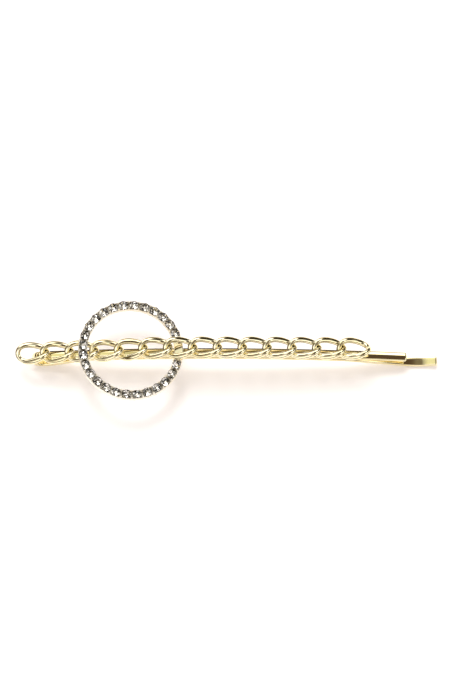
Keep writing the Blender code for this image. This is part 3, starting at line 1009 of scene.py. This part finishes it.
@dataclass
class StoneRing:
    """The round band with a seat for each stone, the prongs over the girdles, and the stones."""

    frame_node: bpy.types.Object
    stone_nodes: dict[str, bpy.types.Object]
    look: bpy.types.Material
    # Painted shade: the darker gold of the channel floor between the stones.
    recess_shade_look: bpy.types.Material
    saddle_look: bpy.types.Material
    glass: bpy.types.Material
    foil: bpy.types.Material
    stone: CutStone = field(default_factory=CutStone)
    outer_diameter: float = 20.8 * MM
    inner_diameter: float = 17.2 * MM
    base_thickness: float = 0.7 * MM
    rail_height: float = 1.1 * MM
    rail_width: float = 0.16 * MM
    rail_slope: float = 0.14 * MM
    rail_past_stone: float = 0.56
    channel_depth: float = 0.3 * MM
    edge_rounding: float = 0.12 * MM
    corner_rows: int = 5
    seat_depth: float = 0.34 * MM
    seat_clearance: float = 0.06 * MM
    saddle_slope: float = 0.25 * MM
    saddle_fall: float = 0.34 * MM
    saddle_from: float = 0.5
    prong_radius: float = 0.26 * MM
    prong_height: float = 0.72 * MM
    prong_inset: float = 0.3 * MM
    prong_rows: int = 9
    prong_points: int = 16
    prong_blunting: float = 0.02
    band_columns: int = 1560
    seat_rows: int = 18
    stone_tip: float = math.radians(14)
    facet_angle: float = math.radians(1)
    sharp_angle: float = math.radians(50)
    girdle_share: float = 0.99
    # Painted reflections: the tones of the foil's facets and how often each comes.
    facet_reflection_tones: tuple[float, ...] = (0.0, 0.3, 1.0)
    facet_reflection_shares: tuple[float, ...] = (0.15, 0.15, 0.7)
    seed: int = 7

    def __post_init__(self) -> None:
        """Finds the ring's middle, its flat direction and the angle of each stone."""
        self.outer = self.outer_diameter / 2
        self.inner = self.inner_diameter / 2
        self.middle_radius = (self.outer + self.inner) / 2
        places = []
        for name in sorted(self.stone_nodes):
            points = node_points(self.stone_nodes[name])
            places.append(points.mean(axis=0))
        self.places = np.array(places)
        around = self.places - self.places.mean(axis=0)
        up = np.linalg.svd(around)[2][2]
        up *= np.sign(up[2])
        side = np.cross([0, 1, 0], up)
        side /= np.linalg.norm(side)
        self.axes = np.stack([side, np.cross(up, side), up])
        flat = self.places @ self.axes.T
        self.middle = self._circle_middle(flat)
        relative = flat - self.middle
        self.stone_angles = np.unwrap(np.arctan2(relative[:, 1], relative[:, 0]))
        self.stone_step = float(np.diff(self.stone_angles).mean())
        self.base = float((node_points(self.frame_node) @ self.axes.T)[:, 2].min() - self.middle[2])
        self.girdle = self._girdle_level()

    @staticmethod
    def _circle_middle(flat: np.ndarray) -> np.ndarray:
        """The middle of the circle through points in the ring's own plane.

        Args:
            flat: The points in the ring's own axes.

        Returns:
            The middle in the same axes, at the points' mean height.
        """
        table = np.column_stack([2 * flat[:, :2], np.ones(len(flat))])
        answer = np.linalg.lstsq(table, (flat[:, :2] ** 2).sum(axis=1), rcond=None)[0]
        return np.array([answer[0], answer[1], flat[:, 2].mean()])

    def to_world(self, points: np.ndarray) -> np.ndarray:
        """Points given about the ring's middle in its own axes, in the shared frame."""
        return (points + self.middle) @ self.axes

    def _girdle_level(self) -> float:
        """Finds the girdles' lower edges from the widest points of a packed stone.

        Returns:
            Their height over the ring's middle.
        """
        stone = node_points(self.stone_nodes[min(self.stone_nodes)]) @ self.axes.T
        reach = np.linalg.norm(stone[:, :2] - stone[:, :2].mean(axis=0), axis=1)
        widest = reach > self.girdle_share * reach.max()
        return float(stone[widest, 2].min() - self.middle[2])

    def gap_to_stone(self, angle: np.ndarray) -> np.ndarray:
        """The angle from each place round the ring to the nearest stone."""
        gap = np.abs(angle[..., None] - self.stone_angles) % (2 * math.pi)
        return np.minimum(gap, 2 * math.pi - gap).min(axis=-1)

    def bare_share(self, gap: np.ndarray) -> np.ndarray:
        """0 along the stones and 1 on the bare side, with an S-curve between."""
        beyond = (gap - self.stone_step * self.rail_past_stone) * self.middle_radius
        return smooth_step(beyond / self.saddle_slope)

    def band_top(self, angle: np.ndarray, radius: np.ndarray) -> np.ndarray:
        """Height of the band's top: two rails, a channel between them and a seat at each stone.

        The channel drops from the rails with an S-curve. A seat is a cone that follows the
        stone's pavilion a little below it. On the bare side the top slopes down to the base
        plate, which falls a little towards the middle of the ring.

        Args:
            angle: Angles round the ring.
            radius: Distances from its middle.

        Returns:
            The heights.
        """
        gap = self.gap_to_stone(angle)
        rail = self.base + self.rail_height
        from_edge = (self.outer - self.inner) / 2 - np.abs(radius - self.middle_radius)
        sunk = smooth_step((from_edge - self.rail_width) / self.rail_slope)
        channel = rail - self.channel_depth * sunk
        across = np.hypot(radius * np.sin(gap), radius * np.cos(gap) - self.middle_radius)
        slope = self.stone.pavilion_depth / (self.stone.diameter / 2)
        cone = self.girdle - self.seat_clearance - (self.stone.diameter / 2 - across) * slope
        top = np.minimum(channel, np.maximum(cone, rail - self.seat_depth))
        inward = (self.outer - radius) / (self.outer - self.inner)
        saddle = self.base + self.base_thickness - self.saddle_fall * inward
        return top + (saddle - top) * self.bare_share(gap)

    def build_band(self) -> None:
        """The band: its section runs round the base, the outer wall, the top and the inner wall.

        Each corner is a quarter circle: r - edge (1 - cos a) across and edge (1 - sin a) down.
        The floor of the channel between the stones is rougher than the rest and painted a darker
        gold, as painted shade in that recess, and the bare saddle, which the chain rubs, is
        brighter.
        """
        angle = np.linspace(0, 2 * math.pi, self.band_columns, endpoint=False)[:, None]
        angle = angle + self.stone_angles[0] - self.stone_step
        turn = np.linspace(0, math.pi / 2, self.corner_rows)
        inset = self.edge_rounding * (1 - np.sin(turn))
        rise = self.edge_rounding * (1 - np.cos(turn))
        base_radius = np.concatenate([self.inner + inset[::-1], self.outer - inset])
        base_height = self.base + np.concatenate([rise[::-1], rise])
        edges = self.outer - self.edge_rounding, self.inner + self.edge_rounding
        across = np.linspace(*edges, self.seat_rows)[1:-1]
        top_radius = np.concatenate([self.outer - rise, across, self.inner + rise[::-1]])
        drop = np.concatenate([inset, np.zeros(self.seat_rows - 2), inset[::-1]])
        wide = np.broadcast_to(top_radius, (self.band_columns, len(top_radius)))
        top_height = self.band_top(np.broadcast_to(angle, wide.shape), wide) - drop
        base_height = np.broadcast_to(base_height, (self.band_columns, len(base_height)))
        radius = np.concatenate([base_radius, top_radius])
        height = np.concatenate([base_height, top_height], axis=1)
        points = np.stack([radius * np.cos(angle), radius * np.sin(angle), height], axis=-1)
        quads = quad_grid(self.band_columns, len(radius), wrap_rows=True, wrap_columns=True)
        from_edge = (self.outer - self.inner) / 2 - np.abs(radius - self.middle_radius)
        on_top = np.arange(len(radius)) >= len(base_radius)
        inside = on_top & (from_edge > self.rail_width)
        along = self.bare_share(self.gap_to_stone(angle[:, 0])) < self.saddle_from
        beside_stones = along[quads // len(radius)].all(axis=1)
        in_channel = inside[quads % len(radius)].all(axis=1)
        # Painted shade: the channel floor takes the darker recess material.
        part = np.where(in_channel, BandFace.CHANNEL, BandFace.RIM)
        part = np.where(beside_stones, part, BandFace.SADDLE)
        band = mesh_object(
            "ring_band",
            self.to_world(points),
            quads.tolist(),
            [self.look, self.recess_shade_look, self.saddle_look],
            part,
            self.sharp_angle,
        )
        dress(band, Body.UPPER, Slot.RING, "ring_frame")

    def build_prongs(self) -> None:
        """Prongs in pairs between the stones.

        A prong's radius shrinks from its foot to its rounded top as sqrt(1 - level^4).
        """
        count = len(self.stone_angles) + 1
        between = self.stone_angles[0] + self.stone_step * (np.arange(count) - 0.5)
        low = self.base + self.rail_height - self.channel_depth
        level = np.linspace(0, 1, self.prong_rows)[:, None]
        turn = np.linspace(0, 2 * math.pi, self.prong_points, endpoint=False)
        wide = self.prong_radius * np.sqrt(np.clip(1 - level**4, self.prong_blunting, 1))
        height = low + self.prong_height * level + np.zeros_like(turn)
        one = np.stack([wide * np.cos(turn), wide * np.sin(turn), height], axis=-1).reshape(-1, 3)
        quads = quad_grid(self.prong_rows, self.prong_points, wrap_rows=False, wrap_columns=True)
        quads = quads[:, ::-1].tolist()
        foot = list(range(self.prong_points))
        top = list(range(len(one) - 1, len(one) - 1 - self.prong_points, -1))
        points = []
        faces = []
        for radius in (self.inner + self.prong_inset, self.outer - self.prong_inset):
            for angle in between:
                start = len(points) * len(one)
                offset = np.array([radius * math.cos(angle), radius * math.sin(angle), 0.0])
                points.append(one + offset)
                faces += [[start + corner for corner in face] for face in [*quads, foot, top]]
        prongs = mesh_object(
            "ring_prongs",
            self.to_world(np.concatenate(points)),
            faces,
            [self.look],
            sharp_angle=self.sharp_angle,
        )
        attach(prongs, Body.UPPER.value)
        log.info("%s: %d faces", prongs.name, len(prongs.data.polygons))

    def build_stones(self) -> None:
        """Cut stones, each turned and tipped a little by hand-setting."""
        corners, faces, backed = self.stone.facets()
        chance = np.random.default_rng(self.seed)
        looks = [self.glass, self.foil]
        side_turn = 2 * math.pi / self.stone.sides
        for name, angle in zip(sorted(self.stone_nodes), self.stone_angles):
            turn = Matrix.Rotation(chance.uniform(0, side_turn), 3, "Z")
            tip = Matrix.Rotation(chance.uniform(-self.stone_tip, self.stone_tip), 3, "X")
            lean = Matrix.Rotation(chance.uniform(-self.stone_tip, self.stone_tip), 3, "Y")
            turned = corners @ np.array(lean @ tip @ turn).T
            place = np.array([math.cos(angle), math.sin(angle), 0.0]) * self.middle_radius
            place[2] = self.girdle
            points = self.to_world(turned + place)
            piece = mesh_object(f"cut_{name}", points, faces, looks, backed, self.facet_angle)
            # Painted reflections: a random dark, grey or bright tone for each facet.
            painted_reflections = chance.choice(self.facet_reflection_tones, len(faces), p=self.facet_reflection_shares)
            note_values(piece, PAINTED_REFLECTION, "FACE", painted_reflections)
            dress(piece, Body.UPPER, Slot.STONE, name)

    def build(self) -> None:
        """Builds the band, its prongs and its stones."""
        self.build_band()
        self.build_prongs()
        self.build_stones()


@dataclass(frozen=True)
class TentPatch:
    """A sheet, card or gap of the tent: its reach across and along, in degrees from overhead."""

    name: str
    across: tuple[float, float]
    along: tuple[float, float]
    colour: tuple[float, float, float, float]
    softness: float


@dataclass
class Studio:
    """A pale floor under a white tent with cards and sheets, seen steeply from above."""

    picture_height: float = 690.0
    pixels_per_metre: float = 5040.0
    elevation: float = math.radians(68)
    distance: float = 0.8
    sensor: float = 36.0
    near_clip: float = 0.01
    aim: tuple[float, float, float] = (0.595 * MM, 2.152 * MM, 5.0 * MM)
    floor_size: float = 3.0
    floor_colour: tuple[float, float, float, float] = (0.96, 0.925, 0.91, 1.0)
    floor_glow: tuple[float, float, float, float] = (1.0, 0.93, 0.98, 1.0)
    floor_glow_strength: float = 0.23
    floor_roughness: float = 0.9
    floor_gloss: float = 0.1
    tent_white: tuple[float, float, float, float] = (1.45, 1.44, 1.42, 1.0)
    horizon_colour: tuple[float, float, float, float] = (0.06, 0.045, 0.03, 1.0)
    horizon_from: float = 64.0
    horizon_full: float = 74.0
    lamp_energy: float = 1.25
    lamp_breadth: float = math.radians(25)
    lamp_from: tuple[float, float, float] = (-0.1, 0.42, 0.9)
    patches: tuple[TentPatch, ...] = (
        TentPatch("bright sheet at the back", (-80, 26), (24, 54), (2.3, 2.28, 2.25, 1.0), 8.0),
        TentPatch("brown card at the back", (-110, 60), (58, 110), (0.25, 0.2, 0.12, 1.0), 10.0),
        TentPatch("bright sheet at the right", (58, 110), (-50, 60), (1.8, 1.8, 1.8, 1.0), 10.0),
        TentPatch("warm sheet at the front", (-100, 100), (-110, -52), (1.1, 1.0, 0.86, 1.0), 10.0),
        TentPatch("gap at the left", (-110, -58), (-50, 30), (0.12, 0.09, 0.04, 1.0), 10.0),
        TentPatch("black flag at the left", (-110, -28), (-3, 28), (0.12, 0.09, 0.04, 1.0), 5.0),
        TentPatch("gap at the right", (24, 56), (5, 110), (0.05, 0.04, 0.02, 1.0), 16.0),
        TentPatch("gap at the front", (28, 56), (-110, -36), (0.25, 0.2, 0.12, 1.0), 8.0),
        TentPatch("grey card at the front left", (-60, 0), (-26, -2), (0.5, 0.46, 0.42, 1.0), 8.0),
        TentPatch("warm sheet overhead", (-24, -4), (8, 26), (0.88, 0.86, 0.6, 1.0), 6.0),
        TentPatch("black card overhead", (-4, 26), (-46, 25), (0.09, 0.06, 0.04, 1.0), 4.0),
        TentPatch("brown card round the lens", (-6, 9), (-46, 26), (0.2, 0.17, 0.12, 1.0), 9.0),
    )

    def view_direction(self) -> Vector:
        """From the slide towards the camera."""
        return Vector((0.0, -math.cos(self.elevation), math.sin(self.elevation)))

    def build_floor(self) -> None:
        """A plain, nearly white floor, lit faintly from below like a light table.

        The lower leg lies on it, so it rides on that leg, and the open slide still rests on it.
        """
        half = self.floor_size / 2
        corners = np.array([[-half, -half, 0], [half, -half, 0], [half, half, 0], [-half, half, 0]])
        look, sheet = new_look("pale_floor")
        sheet.surface(
            {
                "Base Color": self.floor_colour,
                "Roughness": self.floor_roughness,
                "Specular IOR Level": self.floor_gloss,
                "Emission Color": self.floor_glow,
                "Emission Strength": self.floor_glow_strength,
            }
        )
        floor = mesh_object("floor", corners, [(0, 1, 2, 3)], [look])
        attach(floor, Body.LOWER.value)

    def build_tent(self) -> None:
        """The white tent round the slide, with the cards and sheets that its metal mirrors.

        A direction is given by two angles in degrees from straight overhead: across, to the
        right, and along, to the back. The lens is at (0, -22).
        """
        world = bpy.data.worlds.new("tent")
        bpy.context.scene.world = world
        world.use_nodes = True
        sheet = Wiring(world.node_tree)
        direction = sheet.add("ShaderNodeTexCoord").outputs["Generated"]
        parts = sheet.add("ShaderNodeSeparateXYZ", {0: direction}).outputs
        level = sheet.math("SUBTRACT", 1.0, sheet.math("POWER", parts["Z"], 2.0))
        level = sheet.math("SQRT", level)
        from_top = sheet.math("ARCCOSINE", parts["Z"])
        stretch = sheet.math("DIVIDE", sheet.math("DEGREES", from_top), level)
        across = sheet.math("MULTIPLY", parts["X"], stretch)
        along = sheet.math("MULTIPLY", parts["Y"], stretch)

        tent = sheet.add("ShaderNodeRGB").outputs[0]
        tent.default_value = self.tent_white
        for patch in self.patches:
            share = sheet.math(
                "MULTIPLY",
                sheet.band(across, *patch.across, patch.softness),
                sheet.band(along, *patch.along, patch.softness),
            )
            tent = sheet.mix(share, tent, patch.colour)
            tent.node.label = patch.name
        low = sheet.spread(sheet.math("DEGREES", from_top), self.horizon_from, self.horizon_full)
        tent = sheet.mix(low, tent, self.horizon_colour)
        shade = sheet.add("ShaderNodeBackground", {"Color": tent, "Strength": 1.0})
        sheet.add("ShaderNodeOutputWorld", {"Surface": shade.outputs[0]})

    def build_lights(self) -> None:
        """A broad soft lamp from the back that throws the slide's faint shadow forwards.

        The metal doesn't mirror it: the bright sheet at the back takes its place there.
        """
        lamp = bpy.data.lights.new("back_lamp", "SUN")
        lamp.energy = self.lamp_energy
        lamp.angle = self.lamp_breadth
        holder = bpy.data.objects.new("back_lamp", lamp)
        holder.rotation_euler = Vector(self.lamp_from).to_track_quat("Z", "Y").to_euler()
        holder.visible_glossy = False
        bpy.context.scene.collection.objects.link(holder)

    def build_camera(self) -> None:
        """A long lens, set back so that a metre near the slide covers the right pixels."""
        camera = bpy.data.cameras.new("camera")
        camera.sensor_width = self.sensor
        long_side = self.picture_height / self.pixels_per_metre
        camera.lens = self.sensor * self.distance / long_side
        camera.clip_start = self.near_clip
        holder = bpy.data.objects.new("camera", camera)
        holder.location = Vector(self.aim) + self.view_direction() * self.distance
        holder.rotation_euler = self.view_direction().to_track_quat("Z", "Y").to_euler()
        bpy.context.scene.collection.objects.link(holder)
        bpy.context.scene.camera = holder

    def build(self) -> None:
        """Sets up the floor, the tent, the lamp, the camera and the colour handling."""
        self.build_floor()
        self.build_tent()
        self.build_lights()
        self.build_camera()
        bpy.context.scene.view_settings.view_transform = "Standard"


def named(nodes: dict[str, bpy.types.Object], prefix: str) -> dict[str, bpy.types.Object]:
    """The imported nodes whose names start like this."""
    return {name: node for name, node in nodes.items() if name.startswith(prefix)}


def main() -> None:
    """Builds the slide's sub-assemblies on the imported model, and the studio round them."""
    logging.basicConfig(level=logging.INFO, format="%(name)s: %(message)s")
    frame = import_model()
    nodes = frame["nodes"]
    effects = Effects()
    pin_gold = GoldFinish(
        "pin_gold_plate",
        colour=(1.0, 0.9, 0.58),
        deep_colour=(0.97, 0.84, 0.48),
        roughness=0.035,
        haze=0.06,
    )
    chain_gold = GoldFinish(
        "chain_gold_plate", colour=(1.0, 0.92, 0.65), deep_colour=(0.97, 0.86, 0.53)
    )
    ring_gold = GoldFinish(
        "ring_gold_plate", colour=(1.0, 0.96, 0.86), deep_colour=(0.97, 0.9, 0.76), roughness=0.3
    )
    # Painted shade: a darker, greyer gold for the shade in the channel between the stones.
    ring_recess_shade = GoldFinish(
        "ring_recess_shade", colour=(0.8, 0.75, 0.65), deep_colour=(0.62, 0.56, 0.46), roughness=0.35
    )
    ring_saddle = replace(ring_gold, name="ring_saddle", roughness=0.06)
    solder_gold = GoldFinish(
        "solder_plate", colour=(0.86, 0.72, 0.42), deep_colour=(0.7, 0.56, 0.3), roughness=0.25
    )
    hinge = Vector(frame["joints"][0]["pos_m"])
    pin = SprungPin(
        hinge,
        upper_end_x=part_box("pin_upper_leg")[1].x,
        lower_end_x=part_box("pin_lower_leg")[1].x,
        look=pin_gold.build(effects),
    )
    pin.build()
    chain = CurbChain(
        named(nodes, "chain_link"),
        named(nodes, "solder_joint"),
        chain_gold.build(effects),
        solder_gold.build(effects),
    )
    chain.build()
    ring = StoneRing(
        nodes["ring_frame"],
        named(nodes, "stone"),
        ring_gold.build(effects),
        ring_recess_shade.build(effects),
        ring_saddle.build(effects),
        GlassFinish().build(),
        FoilFinish().build(),
    )
    ring.build()
    Studio().build()


if __name__ == "__main__":
    main()
